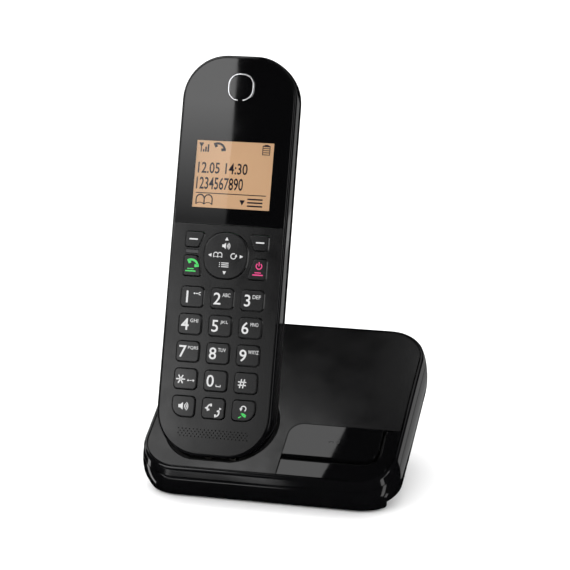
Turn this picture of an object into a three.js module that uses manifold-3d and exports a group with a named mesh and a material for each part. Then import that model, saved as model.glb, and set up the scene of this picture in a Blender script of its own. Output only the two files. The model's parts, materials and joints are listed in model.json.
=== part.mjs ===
// Cordless phone handset standing in its charging base.
// Millimetres, +Z up, the keys face the user at -Y. The origin is on the table,
// below the middle of the whole object's outline.
import * as THREE from 'three';
import { mergeVertices } from 'three/addons/utils/BufferGeometryUtils.js';
import Module from 'manifold-3d';

const wasm = await Module();
wasm.setup();

// ---------- driving dimensions ----------

const GAP = 0.3;                    // air left between neighbouring pieces
const MERGE = 1e-4;
const ARC = 3;                      // half the number of segments in a quarter turn

// Base: a sloping tile on a shallow bowl, over a narrower pedestal
const TILE_WIDTH = 103;
const TILE_LENGTH = 87.6;           // measured up the slope
const TILE_SLOPE = 25;              // degrees
const TILE_CORNER = 16;
const TILE_PLATE = 2;
const RIM_Y = -40.74;               // front rim of the tile
const RIM_Z = 13.9;
const BAND_DEPTH = 4;               // gloss band under the rim
const WALL = 2;
const UNDERSIDE_SLOPE = 20.6;       // degrees
const UNDERSIDE_Z = 2.9;            // height of the underside at the front wall
const UNDERSIDE_Y = -35;
const FLOOR_Z = 0.8;                // the feet hold the case this far off the table
const PEDESTAL = { halfWidth: 41, front: -32, back: 31, corner: 12 };
const TOE = { halfWidth: 48.5, front: -60, back: -26, corner: 7 };   // the bowl's low front edge

// Handset: leans back in the cradle
const HAND_X = -21.9;               // the handset stands left of the middle
const HAND_Y = 20.13;               // top edge of its front face
const HAND_Z = 166.75;
const HAND_LEAN = 20.45;            // degrees back from upright
const HAND_WIDTH = 47;
const HAND_LENGTH = 159.3;
const HAND_DEPTH = 28;
const HAND_CORNER = 17.8;
const TOP_THINNING = 0.82;          // depth at the top, as a share of the full depth
const SPLIT_DEPTH = 11;             // seam between the front and rear cases
const SKIN = 1.6;

// Keys
const KEY_RISE = 0.9;               // how proud a key stands
const KEY_BOTTOM = 3.1;
const KEY_W = 9.2;
const KEY_H = 8;
const KEY_R = 1.4;
const COLUMN = 12.31;
const ROW = 10.82;
const FIRST_ROW = 96.76;            // from the top of the handset
const KEY_FIT = 0.25;               // gap round a key in its hole

// Cradle opening in the tile, in the tile's own frame
const CRADLE = { halfWidth: 24.6, front: 3.2, back: 47.5, corner: 17 };
const POCKET_FIT = 0.9;
const POCKET_WALL = 1.4;

// Screws hold the lower case to bosses under the tile
const SCREW_PLACES = [[-30, 20], [30, 20]];
const SCREW_R = 1.3;
const SCREW_HEAD_R = 2.6;

// ---------- solids ----------

function toSolid(geometry, matrix = new THREE.Matrix4()) {
  const bare = geometry.clone();
  bare.deleteAttribute('normal');
  bare.deleteAttribute('uv');
  bare.applyMatrix4(matrix);
  const merged = mergeVertices(bare, MERGE);
  return new wasm.Manifold(new wasm.Mesh({
    numProp: 3,
    vertProperties: new Float32Array(merged.attributes.position.array),
    triVerts: new Uint32Array(merged.index.array),
  }));
}

function toGeometry(manifold) {
  const { vertProperties, triVerts } = manifold.getMesh();
  const geometry = new THREE.BufferGeometry();
  geometry.setAttribute('position', new THREE.BufferAttribute(vertProperties, 3));
  geometry.setIndex(new THREE.BufferAttribute(triVerts, 1));
  geometry.computeVertexNormals();
  return geometry;
}

function roundedRect(width, height, radius, x = 0, y = 0) {
  const w = width / 2;
  const h = height / 2;
  const r = Math.min(radius, w - 0.01, h - 0.01);
  const shape = new THREE.Shape();
  shape.absarc(x + w - r, y - h + r, r, -Math.PI / 2, 0);
  shape.absarc(x + w - r, y + h - r, r, 0, Math.PI / 2);
  shape.absarc(x - w + r, y + h - r, r, Math.PI / 2, Math.PI);
  shape.absarc(x - w + r, y - h + r, r, Math.PI, Math.PI * 1.5);
  return shape;
}

// A closed outline through corners [x, y, radius], counter-clockwise, each corner an arc
function filleted(corners, segments = 2 * ARC) {
  const at = (i) => new THREE.Vector2(...corners[(i + corners.length) % corners.length]);
  const points = corners.flatMap(([, , radius], i) => {
    if (radius <= 0) {
      return [at(i)];
    }
    const back = at(i - 1).sub(at(i)).normalize();
    const ahead = at(i + 1).sub(at(i)).normalize();
    const half = Math.acos(back.dot(ahead)) / 2;
    const toCentre = back.clone().add(ahead).setLength(radius / Math.sin(half));
    const centre = at(i).add(toCentre);
    const start = at(i).addScaledVector(back, radius / Math.tan(half)).sub(centre).angle();
    const end = at(i).addScaledVector(ahead, radius / Math.tan(half)).sub(centre).angle();
    const sweep = THREE.MathUtils.euclideanModulo(end - start + Math.PI, 2 * Math.PI) - Math.PI;
    return Array.from({ length: segments + 1 }, (unused, k) => {
      const angle = start + sweep * k / segments;
      return new THREE.Vector2(Math.cos(angle), Math.sin(angle)).multiplyScalar(radius).add(centre);
    });
  });
  return new THREE.Shape(points);
}

// A flat piece between two heights along its frame's z
function plate(shape, low, high, segments = ARC) {
  const options = { depth: high - low, bevelEnabled: false, curveSegments: segments };
  const geometry = new THREE.ExtrudeGeometry(shape, options);
  return toSolid(geometry.translate(0, 0, low));
}

function block(width, length, height, x, y, z) {
  return toSolid(new THREE.BoxGeometry(width, length, height).translate(x, y, z));
}

// A round piece standing along z
function disc(radius, low, high, x = 0, y = 0, segments = 20) {
  const geometry = new THREE.CylinderGeometry(radius, radius, high - low, segments);
  geometry.rotateX(Math.PI / 2).translate(x, y, (low + high) / 2);
  return toSolid(geometry);
}

// An outline carried through levels {z, inset, shift}, lowest first. The outline is centred
// on the frame's origin and half as large as (halfX, halfY).
function loft(shape, halfX, halfY, levels, segments = ARC) {
  const steps = levels.length - 1;
  const options = { depth: 1, steps, bevelEnabled: false, curveSegments: segments };
  const geometry = new THREE.ExtrudeGeometry(shape, options);
  const points = geometry.attributes.position;
  for (let i = 0; i < points.count; i += 1) {
    const level = levels[Math.round(points.getZ(i) * steps)];
    const { z, inset = 0, shift = 0, shorten = 0 } = level;
    const x = points.getX(i) * (halfX - inset) / halfX;
    const y = points.getY(i) * (halfY - inset - shorten) / halfY + shift;
    points.setXYZ(i, x, y, z);
  }
  return toSolid(geometry);
}

function joined(...solids) {
  return solids.reduce((sum, piece) => sum.add(piece));
}

// ---------- materials ----------

function material(color, roughness, metalness = 0) {
  return new THREE.MeshStandardMaterial({ color, roughness, metalness });
}

const MATTE_BLACK = material(0x1b1b1c, 0.55);
const GLOSS_BLACK = material(0x0a0a0b, 0.12);
const KEY_GREY = material(0x242426, 0.45);
const SILVER = material(0xc8c9cc, 0.25, 1);
const RUBBER = material(0x202020, 0.85);
const DISPLAY = material(0xe3bd92, 0.35);
const BOARD_GREEN = material(0x1f5a38, 0.5);
const SPRING_NICKEL = material(0xb9b6ac, 0.3, 1);
const BATTERY_WRAP = material(0x3f7d54, 0.4);
const COMPONENT = material(0x151515, 0.4);
const STEEL = material(0x8d8f92, 0.35, 1);
const LENS = material(0x30302f, 0.3);

function place(group, name, solid, finish) {
  const mesh = new THREE.Mesh(toGeometry(solid), finish);
  mesh.name = name;
  group.add(mesh);
  return mesh;
}

// ---------- frames ----------

// tile: x across, y up the slope, z out of the tile's top face
const tile = new THREE.Group();
tile.position.set(0, RIM_Y, RIM_Z);
tile.rotation.x = THREE.MathUtils.degToRad(TILE_SLOPE);
tile.updateMatrix();

// handset: x across, y up its length from the top edge, z out of its front face
const handset = new THREE.Group();
handset.position.set(HAND_X, HAND_Y, HAND_Z);
handset.rotation.x = THREE.MathUtils.degToRad(90 - HAND_LEAN);
handset.updateMatrix();

const toTile = tile.matrix.clone().invert();
const handsetInTile = toTile.clone().multiply(handset.matrix);

// ---------- handset outline ----------

const HAND_HALF = HAND_WIDTH / 2;
const HAND_MID = HAND_LENGTH / 2;

// Depth below the front face against how far the side has drawn in
const HAND_SECTION = [
  { depth: 28, inset: 12.5 },
  { depth: 26.5, inset: 8.8 },
  { depth: 24, inset: 5.8 },
  { depth: 20, inset: 3 },
  { depth: 16, inset: 1.4 },
  { depth: 11, inset: 0.35 },
  { depth: 6, inset: 0 },
  { depth: 1.5, inset: 0 },
  { depth: 0.5, inset: 0.3 },
  { depth: 0, inset: 1 },
];

// The handset's outside grown by `grow`, thinner towards the top
function handsetForm(grow) {
  const outline = roundedRect(HAND_WIDTH, HAND_LENGTH, HAND_CORNER);
  const levels = HAND_SECTION.map(({ depth, inset }, i) => ({
    z: -depth + (i === HAND_SECTION.length - 1 ? grow : -grow * (depth > 1.5)),
    inset: inset - grow,
  }));
  const form = loft(outline, HAND_HALF, HAND_MID, levels, 4);
  const thinned = form.warp((point) => {
    const along = (HAND_MID - point[1]) / HAND_LENGTH;
    point[2] *= TOP_THINNING + (1 - TOP_THINNING) * along;
    point[1] -= HAND_MID;
  });
  return thinned;
}

const handsetOutside = handsetForm(0);
const handsetInside = handsetForm(-SKIN);

// ---------- handset cases ----------

const WINDOW = { top: 2.4, bottom: 67.6, halfWidth: 21.4, thickness: 1.2, corner: 15.6 };
const LCD = { width: 31.8, height: 26.8, centre: 47.7 };
const RING = { x: 0.5, v: 12.7, width: 10.8, height: 11.2, radius: 4.6, band: 0.7 };

// The gloss window's outline: round at the top, square where it meets the keypad
function windowShape(shrink) {
  const half = WINDOW.halfWidth - shrink;
  const top = -WINDOW.top - shrink;
  const bottom = -WINDOW.bottom + shrink;
  const r = WINDOW.corner - shrink;
  return filleted([[half, bottom, 0], [half, top, r], [-half, top, r], [-half, bottom, 0]]);
}

// Corners of the right-hand side keys: x across, y = minus the distance from the top
const SIDE_KEYS = {
  soft_key: [[11.4, -77], [16.9, -77], [16.9, -71], [9, -71]],
  end_key: [[9.4, -88.5], [16.9, -88.5], [16.9, -80.4], [11.6, -80.4]],
};
const SIDE_KEY_R = 0.8;
const NAV = { width: 17.8, height: 18.2, v: 79.8, radius: 7.6 };
const STRIP = { x: -14, v: 78.95, width: 5.6, height: 2.1 };

const DIAL_NAMES = [
  ['key_1', 'key_2', 'key_3'],
  ['key_4', 'key_5', 'key_6'],
  ['key_7', 'key_8', 'key_9'],
  ['key_star', 'key_0', 'key_hash'],
  ['key_speaker', 'key_intercom', 'key_recall'],
];

function dialShape(row, column, grow) {
  const x = COLUMN * (column - 1);
  const y = -(FIRST_ROW + ROW * row);
  return roundedRect(KEY_W + 2 * grow, KEY_H + 2 * grow, KEY_R + grow, x, y);
}

// A four-cornered key outline pushed out by `grow` from its middle, and mirrored if asked
function sideShape(name, mirrored, grow) {
  const corners = SIDE_KEYS[name];
  const xs = corners.map(([x]) => x);
  const ys = corners.map(([, y]) => y);
  const midX = (Math.min(...xs) + Math.max(...xs)) / 2;
  const midY = (Math.min(...ys) + Math.max(...ys)) / 2;
  const grown = corners.map(([x, y]) => [
    x + Math.sign(x - midX) * grow,
    y + Math.sign(y - midY) * grow,
    SIDE_KEY_R + grow,
  ]);
  return filleted(mirrored ? grown.map(([x, y, r]) => [-x, y, r]).reverse() : grown, 3);
}

function keyHoles() {
  const holes = [];
  const punch = (shape) => holes.push(plate(shape, -SKIN - 0.5, 1));
  DIAL_NAMES.forEach((names, row) => names.forEach((name, column) => {
    punch(dialShape(row, column, KEY_FIT));
  }));
  for (const name of Object.keys(SIDE_KEYS)) {
    punch(sideShape(name, false, KEY_FIT));
    punch(sideShape(name, true, KEY_FIT));
  }
  const { width, height, v, radius } = NAV;
  punch(roundedRect(width + 2 * KEY_FIT, height + 2 * KEY_FIT, radius + KEY_FIT, 0, -v));
  punch(roundedRect(STRIP.width, STRIP.height, 0.3, STRIP.x, -STRIP.v));
  return joined(...holes);
}

// Microphone slots near the chin
function micHoles() {
  const columns = [-12, -6, 0, 6, 12];
  return joined(...columns.map((x) => block(3, 0.9, 6, x, -150, 0)));
}

function frontCase() {
  const slice = block(80, 200, SPLIT_DEPTH + 5, 0, -HAND_MID, -SPLIT_DEPTH / 2 + 2.5);
  const recess = plate(windowShape(-GAP), -WINDOW.thickness - GAP, 2);
  const floor = plate(windowShape(-0.9), -WINDOW.thickness - GAP - 1.4, 0.1 - WINDOW.thickness - GAP);
  const sight = block(LCD.width + 1.6, LCD.height + 1.6, 8, 0, -LCD.centre, -2);
  const sound = block(3, 1.4, 8, RING.x, -RING.v, -2);
  return handsetOutside
    .intersect(slice)
    .subtract(handsetInside)
    .add(floor.intersect(handsetOutside))
    .subtract(recess)
    .subtract(sight)
    .subtract(sound)
    .subtract(keyHoles())
    .subtract(micHoles());
}

// Charging contacts in the handset's bottom end: x either side, y along, depth below the face
const CONTACT = { x: 5, y: -156.2, depth: 18.4 };
const BATTERY_BAY = { halfWidth: 14, top: 62, bottom: 124 };
const COVER_SKIN = 1.5;

function bayPlate(shrink) {
  const { halfWidth, top, bottom } = BATTERY_BAY;
  const height = bottom - top - 2 * shrink;
  const middle = -(top + bottom) / 2;
  return plate(roundedRect(2 * (halfWidth - shrink), height, 2, 0, middle), -40, -SPLIT_DEPTH - 1);
}

function rearCase() {
  const slice = block(80, 200, 40, 0, -HAND_MID, -SPLIT_DEPTH - GAP - 20);
  const slot = block(8, 1.2, 20, 0, 0, -HAND_DEPTH);
  const slots = joined(...[22, 25, 28, 31, 34].map((v) => slot.translate([0, -v, 0])));
  const doors = joined(...[-1, 1].map((side) => {
    const { x, y, depth } = CONTACT;
    return block(5, 8, 7, side * x, y, -depth);
  }));
  const under = handsetForm(-COVER_SKIN - GAP - 1.2);
  const lip = bayPlate(-1).subtract(bayPlate(1.2)).intersect(handsetForm(-COVER_SKIN - GAP));
  const collar = bayPlate(-1).subtract(bayPlate(0)).intersect(handsetForm(-1));
  return handsetOutside
    .intersect(slice)
    .subtract(handsetInside)
    .subtract(bayPlate(0))
    .add(joined(lip, collar).subtract(under))
    .subtract(slots)
    .subtract(doors);
}

function batteryCover() {
  return bayPlate(GAP).intersect(handsetOutside.subtract(handsetForm(-COVER_SKIN)));
}

// ---------- handset front fittings ----------

function ringShape(grow) {
  const { width, height, radius, x, v } = RING;
  return roundedRect(width + 2 * grow, height + 2 * grow, radius + grow, x, -v);
}

function ringGroove() {
  return plate(ringShape(GAP), -0.8 - GAP, 1).subtract(plate(ringShape(-RING.band - GAP), -3, 2));
}

function windowPanel() {
  const sound = block(3, 1.4, 8, RING.x, -RING.v, 0);
  return plate(windowShape(0), -WINDOW.thickness, 0.05)
    .subtract(ringGroove())
    .subtract(sound);
}

// Open at the bottom, where the two ends of the trim stop short of each other
function earpieceRing() {
  const mouth = block(2.4, 4, 6, RING.x, -RING.v - RING.height / 2, 0);
  return plate(ringShape(0), -0.8, 0.25)
    .subtract(plate(ringShape(-RING.band), -3, 2))
    .subtract(mouth);
}

function lcdGlass() {
  const top = -WINDOW.thickness - GAP;
  return plate(roundedRect(LCD.width + 1, LCD.height + 1, 0.5, 0, -LCD.centre), top - 1.6, top);
}

function lcdBacklight() {
  const top = -WINDOW.thickness - 2 * GAP - 1.6;
  return plate(roundedRect(37, 33, 1, 0, -LCD.centre), top - 1.6, top);
}

function chargeIndicator() {
  const { x, v, width, height } = STRIP;
  const shape = roundedRect(width - 2 * KEY_FIT, height - 2 * KEY_FIT, 0.3, x, -v);
  return plate(shape, -SKIN, 0.2);
}

// ---------- keys ----------

// A cap that stands through the case on a wider foot that keeps it in
function keySolid(cap, foot) {
  return joined(
    plate(cap, -KEY_BOTTOM, KEY_RISE, 2),
    plate(foot, -KEY_BOTTOM, -SKIN - GAP - 0.1, 2),
  );
}

function dialKey(row, column) {
  const isOuterLast = row === 4 && column !== 1;
  const x = COLUMN * (column - 1);
  const y = -(FIRST_ROW + ROW * row);
  let key = keySolid(dialShape(row, column, 0), dialShape(row, column, 0.6));
  if (isOuterLast) {
    const side = Math.sign(column - 1);
    const corner = plate(roundedRect(KEY_W * 3, KEY_H * 3, 4.6, x - side * KEY_W, y + KEY_H), -5, 5);
    key = key.intersect(corner);
  }
  return key;
}

function sideKey(name, mirrored) {
  return keySolid(sideShape(name, mirrored, 0), sideShape(name, mirrored, 0.5));
}

function navKey() {
  const { width, height, v, radius } = NAV;
  const low = -KEY_BOTTOM + GAP;
  const cap = plate(roundedRect(width, height, radius, 0, -v), low, KEY_RISE);
  const skirt = roundedRect(width + 0.8, height + 0.8, radius + 0.4, 0, -v);
  return joined(cap, plate(skirt, low, -SKIN - GAP - 0.1));
}

function navPost() {
  return disc(1.6, -4.1, -KEY_BOTTOM, 0, -NAV.v, 12);
}

// ---------- handset inside ----------

const MAT = { width: 38, length: 76, corner: 6, y: -109, top: 4.4, thickness: 1.2 };
const BOARD = { width: 38, length: 126, corner: 7, y: -86.5, top: 5.9, thickness: 1.2 };
const CELL = { radius: 5.1, length: 42.5, nubRadius: 1.9, nubLength: 1.4, y: -92, depth: 18.6 };
const SPRING = { radius: 4.2, length: 2.6 };
const LINK = { width: 22, thickness: 0.6, height: 8 };

// A flat sheet inside the handset, its top so far below the face
function sheet({ width, length, corner, y, top, thickness }) {
  return plate(roundedRect(width, length, corner, 0, y), -top - thickness, -top);
}

// A cell lying along the handset
function cell(x) {
  const { radius, length, nubRadius, nubLength, y, depth } = CELL;
  const body = new THREE.CylinderGeometry(radius, radius, length, 20).translate(0, -0.6, 0);
  const nub = new THREE.CylinderGeometry(nubRadius, nubRadius, nubLength, 12);
  const whole = joined(toSolid(body), toSolid(nub.translate(0, length / 2 - 0.05, 0)));
  return whole.translate([x, y, -depth]);
}

function batterySpring(x) {
  const wire = new THREE.ConeGeometry(SPRING.radius, SPRING.length, 16);
  const low = CELL.y - CELL.length / 2 - 0.6 - GAP;
  return toSolid(wire.translate(x, low - 1.5, -CELL.depth));
}

function batteryTab() {
  const high = CELL.y + CELL.length / 2 + 0.65 + GAP;
  return block(LINK.width, LINK.thickness, LINK.height, 0, high + LINK.thickness / 2, -CELL.depth);
}

function earpieceSpeaker() {
  return disc(6, -6.4, -3.5, 0, -RING.v - 0.6, 20);
}

function ringerSpeaker() {
  return disc(9, -17, -13, 0, -34, 24);
}

function microphone() {
  return disc(2, -5, -2.4, 6, -152.5, 12);
}

function handsetContact(side) {
  return block(4.2, 1, 6, side * CONTACT.x, CONTACT.y, -CONTACT.depth);
}

// ---------- base ----------

const TILE_HALF_X = TILE_WIDTH / 2;
const TILE_HALF_Y = TILE_LENGTH / 2;
const VERTICAL_BACK = Math.tan(THREE.MathUtils.degToRad(TILE_SLOPE));

// The bowl swells out below the rim and draws in again, and its back wall stands upright
const BOWL_SECTION = [
  { depth: 0, inset: 0.9 },
  { depth: 0.4, inset: 0.25 },
  { depth: 1, inset: 0 },
  { depth: BAND_DEPTH, inset: -0.5 },
  { depth: 7, inset: -1 },
  { depth: 10, inset: -1.2 },
  { depth: 13, inset: -1 },
  { depth: 16, inset: -0.3 },
  { depth: 30, inset: 6 },
];

function bowl(shrink) {
  const outline = roundedRect(TILE_WIDTH, TILE_LENGTH, TILE_CORNER);
  const levels = BOWL_SECTION.map(({ depth, inset }, i) => {
    const lean = Math.max(0, depth - BAND_DEPTH) * VERTICAL_BACK * 0.5;
    const frontSwell = Math.max(0, -inset) / 2;
    return {
      z: -depth - (i === 0 ? shrink : 0),
      inset: inset + shrink,
      shift: TILE_HALF_Y - lean - frontSwell,
      shorten: lean + frontSwell,
    };
  });
  return loft(outline, TILE_HALF_X, TILE_HALF_Y, levels.reverse(), 4);
}

function layer(low, high) {
  return block(300, 300, high - low, 0, TILE_HALF_Y, (low + high) / 2);
}

function footprint({ halfWidth, front, back, corner }, shrink, top) {
  const width = 2 * (halfWidth - shrink);
  const length = back - front - 2 * shrink;
  const outline = roundedRect(width, length, corner - shrink, 0, (front + back) / 2);
  return plate(outline, FLOOR_Z + shrink, top, 4).transform(toTile.elements);
}

// The base's outside drawn in by `shrink`: the bowl above its sloping underside, its low
// front edge, and the pedestal
function baseForm(shrink) {
  const slope = new THREE.BoxGeometry(200, 300, 100).translate(0, 0, 50 + shrink);
  slope.rotateX(THREE.MathUtils.degToRad(UNDERSIDE_SLOPE));
  slope.translate(0, UNDERSIDE_Y, UNDERSIDE_Z);
  const floor = block(300, 300, 100, 0, 0, 50 + FLOOR_Z + shrink);
  const above = toSolid(slope).intersect(floor).transform(toTile.elements);
  const pedestal = footprint(PEDESTAL, shrink, 70).intersect(layer(-90, -BAND_DEPTH - 3));
  return bowl(shrink)
    .intersect(above.add(footprint(TOE, shrink, 12)))
    .add(pedestal);
}

const baseOutside = baseForm(0);
const baseInside = baseForm(WALL);

function cradleShape(grow) {
  const { halfWidth, front, back, corner } = CRADLE;
  const width = 2 * (halfWidth + grow);
  const length = back - front + 2 * grow;
  return roundedRect(width, length, corner + grow, HAND_X, (front + back) / 2);
}

// The handset's bottom half, grown and swept up along its length
function pocketForm(grow) {
  const outline = roundedRect(HAND_WIDTH + 2 * grow, HAND_LENGTH * 2, HAND_CORNER + grow);
  const depth = HAND_DEPTH + grow;
  const solid = plate(outline, -depth, grow + 1, 4);
  return solid.translate([0, -grow, 0]).transform(handsetInTile.elements);
}

function cradlePocket() {
  const below = layer(-60, -TILE_PLATE - GAP);
  const flange = plate(cradleShape(1.8), -TILE_PLATE - GAP - 1.2, -TILE_PLATE - GAP);
  const cup = pocketForm(POCKET_FIT + POCKET_WALL).intersect(below);
  return joined(flange, cup)
    .subtract(pocketForm(POCKET_FIT))
    .subtract(contactSlots())
    .intersect(baseForm(WALL + GAP));
}

// Panel and locator button on the front right of the tile
const PANEL = { left: 5.8, right: 49.3, front: 1.2, back: 29.6, thickness: 1.2, corner: 14 };
const LOCATOR = { left: 5.8, right: 43.3, front: 12.2, back: 29.6, roundLeft: 6, roundRight: 5.5 };
const LOCATOR_TRAVEL = 0.8;

// The fixed part of the panel runs in front of the button and up its right side
function panelShape(grow) {
  const { left, right, front, back, corner } = PANEL;
  const innerX = LOCATOR.right + GAP - grow;
  const innerY = LOCATOR.front - GAP + grow;
  return filleted([
    [left - grow, front - grow, 0],
    [right + grow, front - grow, corner + grow],
    [right + grow, back + grow, 0],
    [innerX, back + grow, 0],
    [innerX, innerY, LOCATOR.roundRight + GAP - grow],
    [left - grow, innerY, 0],
  ]);
}

function locatorShape(grow) {
  const { left, right, front, back, roundLeft, roundRight } = LOCATOR;
  return filleted([
    [left - grow, front - grow, 0],
    [right + grow, front - grow, roundRight + grow],
    [right + grow, back + grow, 0],
    [left - grow, back + grow, roundLeft + grow],
  ]);
}

function boss([x, y]) {
  const low = FLOOR_Z + WALL + GAP;
  const tube = disc(3.2, low, 80, x, y).subtract(disc(SCREW_R + GAP, low - 1, low + 16, x, y, 12));
  return tube.transform(toTile.elements).intersect(layer(-90, -TILE_PLATE + 0.5));
}

function upperCase() {
  const seat = plate(panelShape(GAP), -PANEL.thickness - GAP, 5);
  const locatorHole = plate(locatorShape(GAP), -10, 5);
  const cradle = plate(cradleShape(0), -10, 5);
  const shell = baseOutside.subtract(bowl(WALL).intersect(layer(-60, -TILE_PLATE)));
  return shell
    .intersect(layer(-BAND_DEPTH, 5))
    .add(plate(panelShape(0.5), -TILE_PLATE - 0.6, -TILE_PLATE + 0.1))
    .add(joined(...SCREW_PLACES.map(boss)))
    .subtract(seat)
    .subtract(locatorHole)
    .subtract(cradle);
}

const JACK_Z = 15;
const DC_JACK = { x: 22, width: 9, height: 10, depth: 12, bore: 3 };
const LINE_JACK = { x: -2, width: 13, height: 12, depth: 14, mouth: [9.6, 7] };

// Each jack stands inside the pedestal's back wall and looks out through it
function jackHole({ x, width, height }) {
  return block(width + 2 * GAP, 12, height + 2 * GAP, x, PEDESTAL.back, JACK_Z);
}

function lowerCase() {
  const holes = joined(jackHole(DC_JACK), jackHole(LINE_JACK)).transform(toTile.elements);
  const wells = SCREW_PLACES.map(([x, y]) => disc(SCREW_HEAD_R + GAP, -5, 6, x, y, 16));
  return baseOutside
    .intersect(layer(-60, -BAND_DEPTH - GAP))
    .subtract(baseInside)
    .subtract(holes)
    .subtract(joined(...wells).transform(toTile.elements));
}

function glossPanel() {
  return plate(panelShape(0), -PANEL.thickness, 0.05);
}

// A cap on a wider foot that the tile's plate keeps in
function locatorButton() {
  return joined(
    plate(locatorShape(0), -TILE_PLATE - 1.6, 0.5),
    plate(locatorShape(0.9), -TILE_PLATE - 2, -TILE_PLATE - 1.2),
  );
}

function jack({ x, width, height, depth }) {
  const y = PEDESTAL.back - depth / 2 + 0.4;
  return block(width, depth, height, x, y, JACK_Z);
}

function dcJack() {
  const { x, bore, depth } = DC_JACK;
  const hole = new THREE.CylinderGeometry(bore, bore, depth, 16);
  const pin = new THREE.CylinderGeometry(0.9, 0.9, depth, 10);
  const y = PEDESTAL.back + 0.4;
  return jack(DC_JACK)
    .subtract(toSolid(hole.translate(x, y - 3, JACK_Z)))
    .add(toSolid(pin.translate(x, y - depth / 2 - 1.5, JACK_Z)));
}

function lineJack() {
  const { x, mouth: [width, height] } = LINE_JACK;
  const y = PEDESTAL.back + 0.4;
  const latch = block(3.4, 10, 2.4, x, y - 5, JACK_Z - height / 2 - 1);
  return jack(LINE_JACK).subtract(block(width, 20, height, x, y, JACK_Z)).subtract(latch);
}

const BASE_BOARD = { z: 6, width: 27, length: 36, thickness: 1.4, x: 24, y: -4 };

function baseBoard() {
  const { z, width, length, thickness, x, y } = BASE_BOARD;
  return block(width, length, thickness, x, y, z);
}

// A push switch on a riser that stands on the base's board
function locatorSwitch() {
  const top = -TILE_PLATE - 2 - LOCATOR_TRAVEL - GAP;
  const x = (LOCATOR.left + LOCATOR.right) / 2;
  const y = (LOCATOR.front + LOCATOR.back) / 2;
  const { z, thickness } = BASE_BOARD;
  const boardTop = block(300, 300, 100, 0, 0, 50 + z + thickness / 2 + GAP);
  return joined(
    disc(1.6, top - 2, top, x, y, 12),
    block(6, 6, 4, x, y, top - 3.9),
    block(4, 4, 20, x, y, top - 15),
  ).intersect(boardTop.transform(toTile.elements));
}

function baseScrew([x, y]) {
  const head = FLOOR_Z + 0.6;
  return joined(
    disc(SCREW_HEAD_R, head, head + 1.4, x, y, 16),
    disc(SCREW_R, head + 1.3, head + 12, x, y, 12),
  );
}

// Springy tongues that reach up through the pocket's floor to the handset's contacts
function baseContact(side) {
  const top = CONTACT.y - 0.5 - GAP;
  return block(2.6, 5.4, 5, side * CONTACT.x, top - 2.7, -CONTACT.depth);
}

function contactSlots() {
  const slots = [-1, 1].map((side) => {
    return block(3.4, 14, 5.8, side * CONTACT.x, CONTACT.y - 7, -CONTACT.depth);
  });
  return joined(...slots).transform(handsetInTile.elements);
}

const FOOT_R = 3.2;
const FEET = {
  foot_front_left: [-33, -29.5],
  foot_front_right: [33, -29.5],
  foot_rear_left: [-36, 10],
  foot_rear_right: [36, 10],
};

// ---------- assembly ----------

const phone = new THREE.Group();
phone.add(tile, handset);

place(tile, 'base_upper_case', upperCase(), MATTE_BLACK);
place(tile, 'base_lower_case', lowerCase(), GLOSS_BLACK);
place(tile, 'cradle_pocket', cradlePocket(), MATTE_BLACK);
place(tile, 'base_gloss_panel', glossPanel(), GLOSS_BLACK);
place(tile, 'locator_button', locatorButton(), GLOSS_BLACK);
place(tile, 'locator_switch', locatorSwitch(), COMPONENT);
place(phone, 'base_circuit_board', baseBoard(), BOARD_GREEN);
place(phone, 'dc_jack', dcJack(), COMPONENT);
place(phone, 'line_jack', lineJack(), COMPONENT);
place(handset, 'base_contact_left', baseContact(-1), SPRING_NICKEL);
place(handset, 'base_contact_right', baseContact(1), SPRING_NICKEL);
place(phone, 'base_screw_left', baseScrew(SCREW_PLACES[0]), STEEL);
place(phone, 'base_screw_right', baseScrew(SCREW_PLACES[1]), STEEL);
for (const [name, [x, y]] of Object.entries(FEET)) {
  place(phone, name, disc(FOOT_R, 0, FLOOR_Z - 0.1, x, y), RUBBER);
}

place(handset, 'handset_front_case', frontCase(), MATTE_BLACK);
place(handset, 'handset_rear_case', rearCase(), MATTE_BLACK);
place(handset, 'battery_cover', batteryCover(), MATTE_BLACK);
place(handset, 'window_panel', windowPanel(), GLOSS_BLACK);
place(handset, 'earpiece_ring', earpieceRing(), SILVER);
place(handset, 'lcd_glass', lcdGlass(), DISPLAY);
place(handset, 'lcd_backlight', lcdBacklight(), DISPLAY);
place(handset, 'charge_indicator', chargeIndicator(), LENS);
DIAL_NAMES.forEach((names, row) => names.forEach((name, column) => {
  place(handset, name, dialKey(row, column), KEY_GREY);
}));
place(handset, 'soft_key_left', sideKey('soft_key', true), KEY_GREY);
place(handset, 'soft_key_right', sideKey('soft_key', false), KEY_GREY);
place(handset, 'talk_key', sideKey('end_key', true), KEY_GREY);
place(handset, 'off_key', sideKey('end_key', false), KEY_GREY);
place(handset, 'navigator_key', navKey(), KEY_GREY);
place(handset, 'navigator_pivot', navPost(), COMPONENT);
place(handset, 'keypad_mat', sheet(MAT), RUBBER);
place(handset, 'handset_circuit_board', sheet(BOARD), BOARD_GREEN);
place(handset, 'battery_left', cell(-5.5), BATTERY_WRAP);
place(handset, 'battery_right', cell(5.5), BATTERY_WRAP);
place(handset, 'battery_spring_left', batterySpring(-5.5), SPRING_NICKEL);
place(handset, 'battery_spring_right', batterySpring(5.5), SPRING_NICKEL);
place(handset, 'battery_link', batteryTab(), SPRING_NICKEL);
place(handset, 'earpiece_speaker', earpieceSpeaker(), COMPONENT);
place(handset, 'ringer_speaker', ringerSpeaker(), COMPONENT);
place(handset, 'microphone', microphone(), COMPONENT);
place(handset, 'handset_contact_left', handsetContact(-1), SPRING_NICKEL);
place(handset, 'handset_contact_right', handsetContact(1), SPRING_NICKEL);

export default phone;
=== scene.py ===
"""Cordless phone handset in its charging base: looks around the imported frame."""
import json
import math

import bpy
from mathutils import Matrix, Vector

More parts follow.
